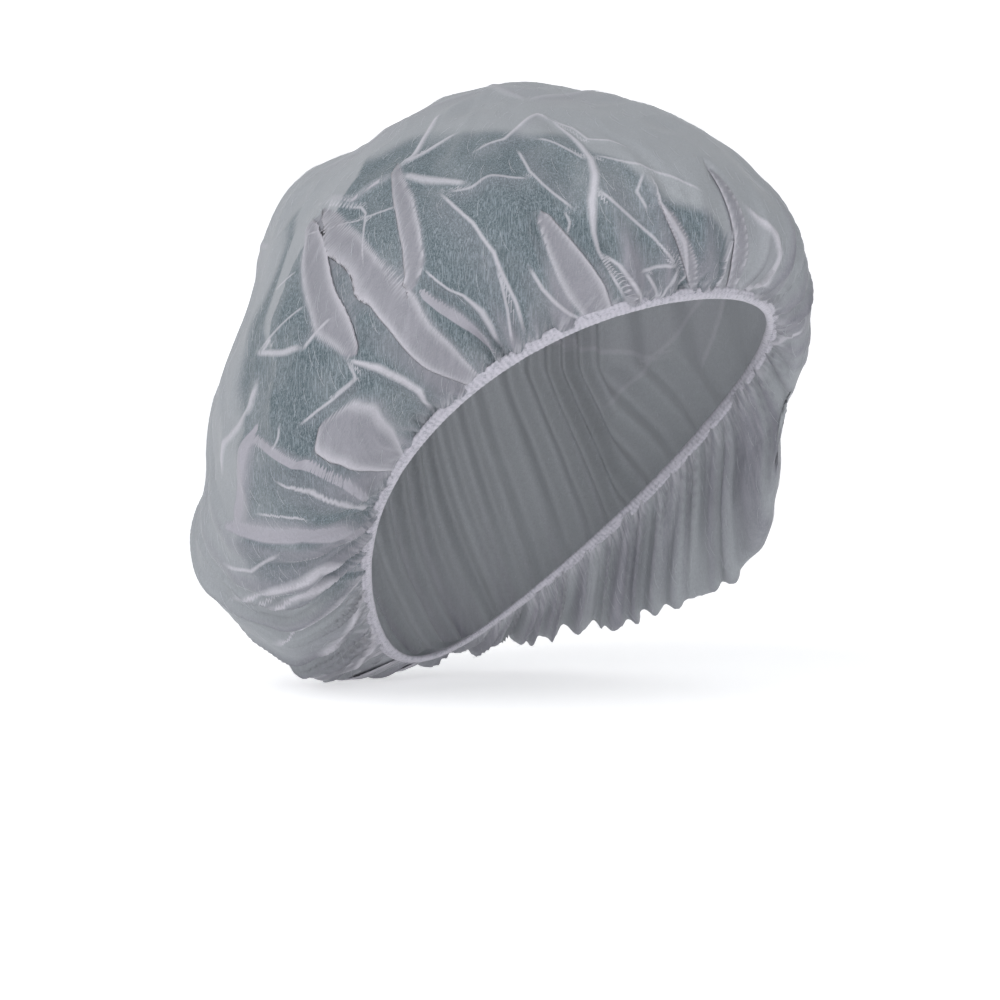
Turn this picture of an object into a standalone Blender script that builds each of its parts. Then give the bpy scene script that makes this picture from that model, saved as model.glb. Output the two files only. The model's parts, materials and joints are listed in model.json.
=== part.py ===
# Disposable hair cover cap in the form it has when worn: a round sheet of nonwoven cloth,
# gathered at its edge into a narrow ruched hem that holds a round elastic.
#
# Metres, +Z up. The forehead faces -Y and the wearer's left is +X.
# The origin is the centre of the head opening, where the cap sits on a head.

import math

import bmesh
import bpy
import numpy as np

MM = 0.001

# Head opening, the loop that the hem's middle line follows
OPENING_WIDTH = 150 * MM
OPENING_LENGTH = 156 * MM
OPENING_RISE = 138 * MM
TEMPLE_LIFT = 16 * MM
NAPE_NARROWING = 0.18

# Bag of cloth, measured along its middle surface without folds
BAG_WIDTH = 206 * MM
BAG_LENGTH = 230 * MM
BAG_SETBACK = 29 * MM
BAG_TOP = 151 * MM
BAG_BOTTOM = -76 * MM
CLOTH_THICKNESS = 1.2 * MM

# Ruched hem
HEM_WIDTH = 5.0 * MM
HEM_THICKNESS = 3.0 * MM
HEM_RUCHES = 40
RUCHE_DEPTH = 0.14
CLEARANCE = 0.3 * MM

# Gathers that run up from the hem into the bag
GATHERS = 30
GATHER_DEPTH = 2.0 * MM
GATHER_FADE = 0.32
FOLD_HEIGHT = 2.6 * MM

# Mesh density
COLUMNS_PER_GATHER = 4
CROWN_ROWS = 17
ROW_CROWDING = 1.25
COLUMNS_PER_RUCHE = 3
HEM_SIDES = 8

CLOTH_COLOUR = (0.80, 0.82, 0.85, 1.0)
HEM_COLOUR = (0.88, 0.87, 0.91, 1.0)

# Sections of the bag, up from the head opening.
# turn: degrees about the bag's upright axis from the forehead, + to the wearer's left.
# reach: share of the bag's plan radius at that turn.
# height: share of the way from BAG_BOTTOM to BAG_TOP.
# The cloth hangs in a pouch over the left ear and at the nape, and stands clear of the right temple.
SECTIONS = [
    # turn, low_reach, low_height, belly_reach, belly_height, shoulder_reach, shoulder_height
    (-135, 0.74, 0.02, 1.06, 0.25, 0.73, 0.81),
    (-90, 0.92, 0.30, 1.04, 0.46, 0.80, 0.80),
    (-45, 0.96, 0.64, 0.99, 0.75, 0.78, 0.87),
    (0, 1.02, 0.71, 1.00, 0.78, 0.70, 0.91),
    (38, 0.98, 0.53, 1.02, 0.64, 0.79, 0.85),
    (62, 0.96, 0.22, 1.05, 0.42, 0.80, 0.82),
    (95, 0.84, 0.10, 1.03, 0.32, 0.78, 0.79),
    (135, 0.78, 0.04, 1.05, 0.28, 0.74, 0.82),
    (180, 0.68, 0.00, 1.04, 0.26, 0.72, 0.81),
]

# Dents (+) and swellings (-) of the worn bag.
# turn and height: as above. half_width, half_height and depth: shares of BAG_WIDTH.
DENTS = [
    # turn, height, half_width, half_height, depth
    (-135, 0.83, 0.16, 0.08, -0.036),
    (-135, 0.61, 0.18, 0.09, 0.024),
    (-135, 0.36, 0.16, 0.08, 0.020),
    (-135, 0.20, 0.20, 0.10, -0.030),
    (-138, 0.03, 0.22, 0.10, 0.028),
    (48, 0.43, 0.16, 0.09, 0.022),
    (-135, 0.95, 0.24, 0.09, 0.030),
    (150, 0.04, 0.28, 0.12, 0.016),
    (130, 0.55, 0.18, 0.10, 0.022),
    (170, 0.50, 0.20, 0.12, 0.020),
]

# Broad folds of the cloth, each a round ridge between two places on the bag.
# turn: as above. along: share of the way from the hem to the top.
# half_width: share of BAG_WIDTH. height: share of FOLD_HEIGHT.
FOLDS = [
    # turn_1, along_1, turn_2, along_2, half_width, height
    (-72, 0.50, -61, 0.26, 0.034, 1.0),
    (-61, 0.26, -52, 0.03, 0.038, 1.1),
    (-82, 0.53, -62, 0.17, 0.042, 0.9),
    (-98, 0.62, -75, 0.27, 0.050, 1.0),
    (-77, 0.28, -62, 0.03, 0.034, 0.9),
    (-90, 0.30, -75, 0.05, 0.060, 0.8),
    (-102, 0.28, -84, 0.05, 0.036, 0.9),
    (-116, 0.24, -93, 0.04, 0.050, 0.9),
    (-37, 0.56, -31, 0.33, 0.040, 0.9),
    (-31, 0.33, -22, 0.03, 0.032, 1.1),
    (-41, 0.28, -28, 0.02, 0.044, 1.0),
    (-57, 0.40, -43, 0.05, 0.034, 0.9),
    (-30, 0.27, -16, 0.06, 0.034, 0.8),
    (-135, 0.62, -78, 0.55, 0.040, 0.9),
    (8, 0.30, 14, 0.06, 0.060, 0.8),
    (60, 0.60, 48, 0.20, 0.046, 1.0),
    (95, 0.66, 80, 0.22, 0.046, 1.0),
    (130, 0.60, 118, 0.16, 0.050, 1.1),
    (165, 0.62, 158, 0.14, 0.046, 1.0),
    (-155, 0.60, -162, 0.14, 0.050, 1.0),
]


def clear_scene():
    for old_object in list(bpy.data.objects):
        bpy.data.objects.remove(old_object, do_unlink=True)


def fabric(name, colour, roughness):
    material = bpy.data.materials.new(name)
    material.use_nodes = True
    shader = material.node_tree.nodes["Principled BSDF"]
    shader.inputs["Base Color"].default_value = colour
    shader.inputs["Roughness"].default_value = roughness
    shader.inputs["Metallic"].default_value = 0.0
    return material


def spaced(points, count, start=0.0, crowding=1.0):
    """Points along a polyline, from a distance past its start to its end, crowded at the start."""
    steps = np.linalg.norm(np.diff(points, axis=0), axis=1)
    travelled = np.concatenate([[0.0], np.cumsum(steps)])
    wanted = start + (travelled[-1] - start) * np.linspace(0.0, 1.0, count) ** crowding
    return np.stack([np.interp(wanted, travelled, column) for column in points.T], axis=1)


def blend(first, second, start, end, t):
    return ((end - t) * first + (t - start) * second) / (end - start)


def curve_between(knots, at, t):
    """Catmull-Rom curve through four knots, read at t between the second and the third."""
    level = [blend(knots[j], knots[j + 1], at[j], at[j + 1], t) for j in range(3)]
    level = [blend(level[j], level[j + 1], at[j], at[j + 2], t) for j in range(2)]
    return blend(level[0], level[1], at[1], at[2], t)


def smooth_curve(knots):
    """A fine polyline on the centripetal curve from the second knot to the last but one."""
    knots = np.array(knots, float)
    at = np.concatenate([[0.0], np.cumsum(np.linalg.norm(np.diff(knots, axis=0), axis=1) ** 0.5)])
    pieces = []
    for i in range(1, len(knots) - 2):
        t = np.linspace(at[i], at[i + 1], 24, endpoint=False)[:, None]
        pieces.append(curve_between(knots[i - 1:i + 3], at[i - 1:i + 3], t))
    pieces.append(knots[-2][None])
    return np.vstack(pieces)


def section_at(turn):
    """The section table's values at a turn, on a smooth curve around its rows."""
    rows = np.array(SECTIONS, float)
    lap = np.zeros(rows.shape[1])
    lap[0] = 360
    rows = np.vstack([rows[-2:] - lap, rows, rows[:2] + lap])
    first = np.searchsorted(rows[:, 0], turn, side="right") - 1
    near = rows[first - 1:first + 3]
    return curve_between(near[:, 1:], near[:, 0], turn)


def opening_point(turn):
    """Distance from the bag's axis and height of the hem's middle line at a turn."""
    across, ahead = math.sin(math.radians(turn)), math.cos(math.radians(turn))
    half_width, half_length = OPENING_WIDTH / 2, OPENING_LENGTH / 2
    a = (across / half_width) ** 2 + (ahead / half_length) ** 2
    b = -2 * BAG_SETBACK * ahead / half_length ** 2
    c = (BAG_SETBACK / half_length) ** 2 - 1
    reach = (-b + math.sqrt(b * b - 4 * a * c)) / (2 * a)
    back = (BAG_SETBACK - reach * ahead) / half_length
    reach *= 1 - NAPE_NARROWING * (across * max(0.0, back)) ** 2
    back = (BAG_SETBACK - reach * ahead) / half_length
    return reach, -back * OPENING_RISE / 2 + TEMPLE_LIFT * (1 - back * back)


def plan_radius(turn):
    """Distance from the bag's axis to its widest outline, seen from above."""
    across, ahead = math.sin(math.radians(turn)), math.cos(math.radians(turn))
    return 1 / math.hypot(across / (BAG_WIDTH / 2), ahead / (BAG_LENGTH / 2))


def meridian(turn):
    """Fine (reach, height) line of the bag from the hem's middle line to the top."""
    low_reach, low_height, belly_reach, belly_height, shoulder_reach, shoulder_height = section_at(turn)
    radius = plan_radius(turn)

    def knot(reach, height):
        return reach * radius, BAG_BOTTOM + height * (BAG_TOP - BAG_BOTTOM)

    edge = opening_point(turn)
    low = knot(low_reach, low_height)
    belly = knot(belly_reach, belly_height)
    shoulder = knot(shoulder_reach, shoulder_height)
    lead_in = (2 * edge[0] - low[0], 2 * edge[1] - low[1])
    return smooth_curve([lead_in, edge, low, belly, shoulder, (0, BAG_TOP), (-shoulder[0], shoulder[1])])


def to_space(turn, line):
    """World points of a (reach, height) line that stands at a turn."""
    angle = math.radians(turn)
    return np.stack([
        line[:, 0] * math.sin(angle),
        BAG_SETBACK - line[:, 0] * math.cos(angle),
        line[:, 1],
    ], axis=1)


def turns(columns):
    return [360 * i / columns - 180 for i in range(columns)]


def unit(vectors):
    return vectors / np.linalg.norm(vectors, axis=-1, keepdims=True)


def opening_space(turn):
    """World point of the hem's middle line at a turn."""
    return to_space(turn, np.array([opening_point(turn)]))[0]


def hem_frame(turn):
    """The hem's middle point at a turn, with its directions around, up the cloth and out."""
    middle = opening_space(turn)
    around = unit(opening_space(turn + 0.5) - opening_space(turn - 0.5))
    beside = to_space(turn, spaced(meridian(turn), 2, HEM_WIDTH)[:1])[0]
    out = unit(np.cross(around, beside - middle))
    return middle, around, np.cross(out, around), out


def cloth_start(turn):
    """Distance along the meridian, which meets the hem aslant, that clears the hem's edge."""
    middle, around, up, out = hem_frame(turn)
    beside = to_space(turn, spaced(meridian(turn), 2, HEM_WIDTH)[:1])[0]
    return (HEM_WIDTH / 2 + CLEARANCE) / np.dot(unit(beside - middle), up)


def outward(grid):
    """Outward directions of a grid of points whose first index goes around and second goes up."""
    around = np.roll(grid, -1, axis=0) - np.roll(grid, 1, axis=0)
    up = np.gradient(grid, axis=1)
    return unit(np.cross(around, up))


def turn_apart(first, second):
    return (first - second + 180) % 360 - 180


def gather_lift(turn, along):
    """Lift of the gathers: low at the hem, full a little above it, gone further up."""
    reach_up = GATHER_FADE * (1 + 0.3 * math.sin(math.radians(3 * turn + 40)))
    swell = min(1.0, 0.35 + along / 0.06)
    fade = max(0.0, 1 - along / reach_up) ** 1.5
    return GATHER_DEPTH * swell * fade * math.cos(math.radians(GATHERS * turn))


def dent_lift(turn, height):
    """Lift of the worn bag's dents and swellings at a turn and a share of its height."""
    lift = 0.0
    span = BAG_TOP - BAG_BOTTOM
    for dent_turn, dent_height, half_width, half_height, depth in DENTS:
        across = math.radians(turn_apart(turn, dent_turn)) / (2 * half_width)
        up = (height - dent_height) * span / (half_height * BAG_WIDTH)
        lift -= depth * BAG_WIDTH * math.exp(-across ** 2 - up ** 2)
    return lift


def fold_lift(turn, along, line_length):
    """Lift of the broad folds: a round ridge along each row of the table."""
    lift = 0.0
    for turn_1, along_1, turn_2, along_2, half_width, height in FOLDS:
        width = half_width * BAG_WIDTH
        run = math.radians(turn_apart(turn_2, turn_1)) * BAG_WIDTH / 2, (along_2 - along_1) * line_length
        here = math.radians(turn_apart(turn, turn_1)) * BAG_WIDTH / 2, (along - along_1) * line_length
        share = (here[0] * run[0] + here[1] * run[1]) / (run[0] ** 2 + run[1] ** 2)
        share = min(1.0, max(0.0, share))
        away = math.hypot(here[0] - share * run[0], here[1] - share * run[1])
        lift += height * FOLD_HEIGHT * math.exp(-(away / width) ** 2)
    return lift


def bag_grid(columns, rows):
    """Middle surface of the cloth, from beside the hem up to the row below the top point."""
    lines = [spaced(meridian(turn), rows + 1, cloth_start(turn), ROW_CROWDING)
             for turn in turns(columns)]
    grid = np.stack([to_space(turn, line) for turn, line in zip(turns(columns), lines)])
    directions = outward(grid[:, :rows])
    for i, turn in enumerate(turns(columns)):
        length = np.linalg.norm(np.diff(lines[i], axis=0), axis=1).sum()
        for k in range(rows):
            along = (k / rows) ** ROW_CROWDING
            height = (lines[i][k][1] - BAG_BOTTOM) / (BAG_TOP - BAG_BOTTOM)
            calm = min(1.0, 2.5 * (1 - along))
            edge = min(1.0, along / 0.08)
            lift = gather_lift(turn, along)
            lift += calm * edge * (dent_lift(turn, height) + fold_lift(turn, along, length))
            grid[i, k] += lift * directions[i, k]
    return grid[:, :rows]


def loft(name, grid, close_rows=False, top=None):
    """Mesh object through a grid whose first index goes around, with an optional point on top."""
    mesh = bpy.data.meshes.new(name)
    shape = bmesh.new()
    columns, rows = grid.shape[:2]
    points = [[shape.verts.new(point) for point in column] for column in grid]
    for i in range(columns):
        here, beside = points[i], points[(i + 1) % columns]
        for k in range(rows if close_rows else rows - 1):
            above = (k + 1) % rows
            shape.faces.new((here[k], beside[k], beside[above], here[above]))
    if top is not None:
        peak = shape.verts.new(top)
        for i in range(columns):
            shape.faces.new((points[i][-1], points[(i + 1) % columns][-1], peak))
    bmesh.ops.recalc_face_normals(shape, faces=shape.faces)
    shape.to_mesh(mesh)
    shape.free()
    mesh.shade_smooth()
    return bpy.data.objects.new(name, mesh)


def make_crown():
    """The bag: one sheet of cloth, closed at the top and open at the head."""
    grid = bag_grid(GATHERS * COLUMNS_PER_GATHER, CROWN_ROWS)
    crown = loft("crown", grid, top=(0.0, BAG_SETBACK, BAG_TOP))
    shell = crown.modifiers.new("cloth thickness", 'SOLIDIFY')
    shell.thickness = CLOTH_THICKNESS
    shell.offset = 0.0
    shell.use_even_offset = False
    crown.data.materials.append(fabric("nonwoven", CLOTH_COLOUR, 0.85))
    return crown


def make_hem():
    """The ruched hem: an oval band that follows the head opening and swells at each ruche."""
    columns = HEM_RUCHES * COLUMNS_PER_RUCHE
    grid = np.zeros((columns, HEM_SIDES, 3))
    for i, turn in enumerate(turns(columns)):
        middle, around, up, out = hem_frame(turn)
        swell = 1 + RUCHE_DEPTH * math.cos(math.radians(HEM_RUCHES * turn))
        for k in range(HEM_SIDES):
            angle = 2 * math.pi * k / HEM_SIDES
            grid[i, k] = (middle + HEM_WIDTH / 2 * math.cos(angle) * up
                          + HEM_THICKNESS / 2 * swell * math.sin(angle) * out)
    hem = loft("elastic_hem", grid, close_rows=True)
    hem.data.materials.append(fabric("hem", HEM_COLOUR, 0.8))
    return hem


def main():
    clear_scene()
    collection = bpy.data.collections.new("hair_cover_cap")
    bpy.context.scene.collection.children.link(collection)
    for piece in (make_crown(), make_hem()):
        collection.objects.link(piece)


main()
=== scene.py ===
import json
import math
import bpy
import numpy as np
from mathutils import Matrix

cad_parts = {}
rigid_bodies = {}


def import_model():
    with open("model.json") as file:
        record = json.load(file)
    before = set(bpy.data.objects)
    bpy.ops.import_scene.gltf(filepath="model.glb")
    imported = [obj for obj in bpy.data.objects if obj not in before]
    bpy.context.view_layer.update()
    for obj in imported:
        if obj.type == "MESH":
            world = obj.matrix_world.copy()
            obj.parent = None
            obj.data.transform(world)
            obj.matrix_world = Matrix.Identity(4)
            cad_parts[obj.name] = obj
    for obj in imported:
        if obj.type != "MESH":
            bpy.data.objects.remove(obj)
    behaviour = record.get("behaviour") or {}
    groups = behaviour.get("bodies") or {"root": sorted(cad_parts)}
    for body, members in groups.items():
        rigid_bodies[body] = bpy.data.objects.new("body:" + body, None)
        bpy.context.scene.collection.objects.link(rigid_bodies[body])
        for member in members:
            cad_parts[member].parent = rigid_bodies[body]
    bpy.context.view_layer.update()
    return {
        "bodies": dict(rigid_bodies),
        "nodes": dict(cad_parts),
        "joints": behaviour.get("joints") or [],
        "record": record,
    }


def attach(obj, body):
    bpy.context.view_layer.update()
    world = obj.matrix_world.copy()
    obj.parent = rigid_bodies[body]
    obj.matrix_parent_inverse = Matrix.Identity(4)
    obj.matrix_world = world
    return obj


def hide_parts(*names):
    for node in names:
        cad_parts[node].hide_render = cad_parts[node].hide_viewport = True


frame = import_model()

# Disposable hair cover cap as worn: a puffed bag of sheer nonwoven cloth with laid pleats and
# gathers, and a ruched hem with its seam. Metres, +Z up, forehead to -Y, origin in the head opening.
mm = 0.001


# The bag's form, from the same driving sizes as the solids
form = {
    "openingWidth": 150 * mm,
    "openingLength": 156 * mm,
    "openingRise": 138 * mm,
    "templeLift": 16 * mm,
    "napeNarrowing": 0.18,
    "bagWidth": 206 * mm,
    "bagLength": 230 * mm,
    "bagSetback": 29 * mm,
    "bagTop": 151 * mm,
    "bagBottom": -76 * mm,
}

# turn: degrees from the forehead, + to the wearer's left; reach: share of the plan radius;
# height: share of the way from the bag's bottom to its top
sections = [
    # turn, lowReach, lowHeight, bellyReach, bellyHeight, shoulderReach, shoulderHeight
    (-135, 0.74, 0.02, 1.06, 0.25, 0.73, 0.81),
    (-90, 0.92, 0.30, 1.04, 0.46, 0.80, 0.80),
    (-45, 0.96, 0.64, 0.99, 0.75, 0.78, 0.87),
    (0, 1.02, 0.71, 1.00, 0.78, 0.70, 0.91),
    (38, 0.98, 0.53, 1.02, 0.64, 0.79, 0.85),
    (62, 0.96, 0.22, 1.05, 0.42, 0.80, 0.82),
    (95, 0.84, 0.10, 1.03, 0.32, 0.78, 0.79),
    (135, 0.78, 0.04, 1.05, 0.28, 0.74, 0.82),
    (180, 0.68, 0.00, 1.04, 0.26, 0.72, 0.81),
]

# dents (+) and swellings (-), sizes as shares of the bag's width
dents = [
    # turn, height, halfWidth, halfHeight, depth
    (-135, 0.83, 0.16, 0.08, -0.036),
    (-135, 0.61, 0.18, 0.09, 0.024),
    (-135, 0.36, 0.16, 0.08, 0.020),
    (-135, 0.20, 0.20, 0.10, -0.030),
    (-138, 0.03, 0.22, 0.10, 0.028),
    (48, 0.43, 0.16, 0.09, 0.022),
    (-135, 0.95, 0.24, 0.09, 0.030),
    (150, 0.04, 0.28, 0.12, 0.016),
    (130, 0.55, 0.18, 0.10, 0.022),
    (170, 0.50, 0.20, 0.12, 0.020),
]


def blend(first, second, start, end, t):
    return ((end - t) * first + (t - start) * second) / (end - start)


def curveBetween(knots, at, t):  # Catmull-Rom curve between the second and the third of four knots
    level = [blend(knots[j], knots[j + 1], at[j], at[j + 1], t) for j in range(3)]
    level = [blend(level[j], level[j + 1], at[j], at[j + 2], t) for j in range(2)]
    return blend(level[0], level[1], at[1], at[2], t)


def smoothCurve(knots, steps=24):  # from the second knot to the last but one
    knots = np.array(knots, float)
    at = np.concatenate([[0.0], np.cumsum(np.linalg.norm(np.diff(knots, axis=0), axis=1) ** 0.5)])
    pieces = []
    for i in range(1, len(knots) - 2):
        t = np.linspace(at[i], at[i + 1], steps, endpoint=False)[:, None]
        pieces.append(curveBetween(knots[i - 1:i + 3], at[i - 1:i + 3], t))
    pieces.append(knots[-2][None])
    return np.vstack(pieces)


def sectionAt(turn):
    rows = np.array(sections, float)
    lap = np.zeros(rows.shape[1])
    lap[0] = 360
    rows = np.vstack([rows[-2:] - lap, rows, rows[:2] + lap])
    first = np.searchsorted(rows[:, 0], turn, side="right") - 1
    near = rows[first - 1:first + 3]
    return curveBetween(near[:, 1:], near[:, 0], turn)


def openingPoint(turn):  # reach from the bag's axis and height of the hem's middle line
    across, ahead = math.sin(math.radians(turn)), math.cos(math.radians(turn))
    halfWidth, halfLength = form["openingWidth"] / 2, form["openingLength"] / 2
    a = (across / halfWidth) ** 2 + (ahead / halfLength) ** 2
    b = -2 * form["bagSetback"] * ahead / halfLength ** 2
    c = (form["bagSetback"] / halfLength) ** 2 - 1
    reach = (-b + math.sqrt(b * b - 4 * a * c)) / (2 * a)
    back = (form["bagSetback"] - reach * ahead) / halfLength
    reach *= 1 - form["napeNarrowing"] * (across * max(0.0, back)) ** 2
    back = (form["bagSetback"] - reach * ahead) / halfLength
    return reach, -back * form["openingRise"] / 2 + form["templeLift"] * (1 - back * back)


def meridian(turn):  # (reach, height) line from the hem's middle line to the top
    lowReach, lowHeight, bellyReach, bellyHeight, shoulderReach, shoulderHeight = sectionAt(turn)
    across, ahead = math.sin(math.radians(turn)), math.cos(math.radians(turn))
    radius = 1 / math.hypot(across / (form["bagWidth"] / 2), ahead / (form["bagLength"] / 2))
    rise = form["bagTop"] - form["bagBottom"]
    edge = np.array(openingPoint(turn))
    low = np.array([lowReach * radius, form["bagBottom"] + lowHeight * rise])
    belly = np.array([bellyReach * radius, form["bagBottom"] + bellyHeight * rise])
    shoulder = np.array([shoulderReach * radius, form["bagBottom"] + shoulderHeight * rise])
    top = np.array([0.0, form["bagTop"]])
    return smoothCurve([2 * edge - low, edge, low, belly, shoulder, top, shoulder * (-1, 1)])


def unit(vectors):
    return vectors / np.maximum(np.linalg.norm(vectors, axis=-1, keepdims=True), 1e-12)


def smoothStep(x):
    x = np.clip(x, 0.0, 1.0)
    return x * x * (3 - 2 * x)


def makeBase(turnCount=720, alongCount=361):  # smooth surface of the bag on an even grid
    turns = np.arange(turnCount) * 360 / turnCount - 180
    share = np.linspace(0, 1, alongCount)
    grid = np.zeros((turnCount, alongCount, 3))
    lengths = np.zeros(turnCount)
    for i, turn in enumerate(turns):
        line = meridian(turn)
        travelled = np.concatenate([[0.0], np.cumsum(np.linalg.norm(np.diff(line, axis=0), axis=1))])
        lengths[i] = travelled[-1]
        reach = np.interp(share * travelled[-1], travelled, line[:, 0])
        grid[i, :, 0] = reach * math.sin(math.radians(turn))
        grid[i, :, 1] = form["bagSetback"] - reach * math.cos(math.radians(turn))
        grid[i, :, 2] = np.interp(share * travelled[-1], travelled, line[:, 1])
    normals = gridNormals(grid)
    height = (grid[:, :, 2] - form["bagBottom"]) / (form["bagTop"] - form["bagBottom"])
    lift = np.zeros(height.shape)
    for turn, at, halfWidth, halfHeight, depth in dents:
        across = np.radians((turns[:, None] - turn + 180) % 360 - 180) / (2 * halfWidth)
        up = (height - at) * (form["bagTop"] - form["bagBottom"]) / (halfHeight * form["bagWidth"])
        lift -= depth * form["bagWidth"] * np.exp(-across ** 2 - up ** 2)
    lift *= np.minimum(1, 2.5 * (1 - share)) * np.minimum(1, share / 0.08)
    grid += lift[:, :, None] * normals
    return {"points": grid, "normals": gridNormals(grid), "lengths": lengths}


def gridNormals(grid):
    around = np.roll(grid, -1, axis=0) - np.roll(grid, 1, axis=0)
    up = np.gradient(grid, axis=1)
    normals = unit(np.cross(around, up))
    normals[:, -1] = (0, 0, 1)
    return normals


def onBase(base, turn, along):  # points and normals of the smooth surface at any places
    turnCount, alongCount = base["points"].shape[:2]
    u = (turn + 180) / 360 * turnCount
    v = np.clip(along, 0, 1) * (alongCount - 1)
    i = np.floor(u).astype(int)
    k = np.minimum(np.floor(v).astype(int), alongCount - 2)
    f, g = (u - i)[..., None], (v - k)[..., None]
    out = []
    for name in ("points", "normals"):
        a = base[name]
        low = a[i % turnCount, k] * (1 - f) + a[(i + 1) % turnCount, k] * f
        high = a[i % turnCount, k + 1] * (1 - f) + a[(i + 1) % turnCount, k + 1] * f
        out.append(low * (1 - g) + high * g)
    return out[0], unit(out[1])


def seamFrame(turn):  # the hem's middle point and its directions up the cloth and out
    def at(angle):
        reach, height = openingPoint(angle)
        across, ahead = math.sin(math.radians(angle)), math.cos(math.radians(angle))
        return np.array([reach * across, form["bagSetback"] - reach * ahead, height])
    middle = at(turn)
    around = unit(at(turn + 0.5) - at(turn - 0.5))
    line = meridian(turn)[:6]
    across, ahead = math.sin(math.radians(turn)), math.cos(math.radians(turn))
    step = line[-1] - line[0]
    beside = np.array([step[0] * across, -step[0] * ahead, step[1]])
    out = unit(np.cross(around, beside))
    return middle, np.cross(out, around), out


def ringNoise(turn, count, seed):  # smooth noise along the turn that closes on itself, 0 to 1
    values = np.random.default_rng(seed).random(count)
    x = (turn % 360) / 360 * count
    i = np.floor(x).astype(int)
    f = smoothStep(x - i)
    return values[i % count] * (1 - f) + values[(i + 1) % count] * f


def spaceNoise(points, size, seed):  # smooth value noise in space, -1 to 1
    table = np.random.default_rng(seed).random((32, 32, 32)) * 2 - 1
    x = points / size + 100
    i = np.floor(x).astype(int)
    f = smoothStep(x - i)
    total = 0
    for corner in range(8):
        step = np.array([corner & 1, corner >> 1 & 1, corner >> 2 & 1])
        weight = np.prod(np.where(step, f, 1 - f), axis=-1)
        at = (i + step) % 32
        total = total + weight * table[at[..., 0], at[..., 1], at[..., 2]]
    return total


# Bag cloth: laid pleats, gathers, creases and wrinkles
cloth = {
    "columns": 620,            # around, closer on the wearer's right, where the pleats are finest
    "rows": 139,               # from the hem up to where the columns first thin out
    "thinOut": (0.58, 0.84),   # shares of the way up where every second column ends
    "upperRows": (31, 16),     # beyond each of them
    "layerGap": 0.36 * mm,     # between the layers of a laid pleat, and twice that out of view
    "gatherHeight": 1.5,       # share of the heights in the gathers table
    "wrinkleHeight": 2.8 * mm,
    "creaseWidth": 0.84 * mm,  # at least, as light and as a ridge
    "ridgeWidth": 2.3 * mm,
    "rippleHeight": 10.4 * mm,  # of the soft gathers on the sides out of view
    "ripples": 48,
    "calmTurn": 49,            # where few gathers reach the edge of the view, and how far to its sides
    "calmWidth": 13,
    "flatWidth": 0.61,         # the round sheet before it was gathered
    "hemMargin": 13 * mm,      # of the sheet's edge that is turned into the hem, a piece of its own
}

# how far the gathers lean round, in degrees for the whole way up
lean = [
    # turn, lean
    (-180, 0), (-150, -60), (-110, -112), (-60, -50), (-30, -30), (0, -5),
    (30, 30), (60, 50), (110, 100), (150, 60), (180, 0),
]

gathers = [
    # folds around, reach up the bag, height in mm, share of it out of view, seed
    (160, 0.07, 1.9, 0.3, 11),
    (96, 0.13, 2.2, 0.732, 12),
    (54, 0.24, 2.6, 1.068, 13),
    (30, 0.40, 2.6, 1.1, 14),
]

# Folded bands of the side seen in the photograph, from the top down, as places in its 1000 x 1000 frame:
# (x, y, width). The crisp edge is on the left of a band at 1 and on its right at -1.
bandsInView = [
    (1, [(402, 150, 2), (397, 173, 7), (405, 207, 14), (411, 237, 15), (418, 268, 12), (418, 288, 7), (411, 310, 3)]),
    (1, [(318, 204, 2), (336, 217, 8), (355, 243, 14), (367, 261, 16), (382, 281, 22), (401, 302, 24),
         (415, 325, 20), (435, 343, 20), (452, 355, 14), (466, 362, 10), (476, 367, 8)]),
    (-1, [(531, 199, 3), (547, 221, 10), (561, 242, 17), (574, 261, 22), (588, 281, 24), (602, 304, 18)]),
    (-1, [(310, 215, 5), (314, 232, 12), (315, 255, 24), (318, 279, 24), (324, 301, 22), (331, 319, 24),
          (345, 336, 16), (354, 352, 10), (361, 364, 5)]),
    (1, [(316, 421, 12), (332, 426, 34), (355, 434, 38), (376, 448, 30), (390, 457, 18), (398, 462, 10)]),
]

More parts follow.
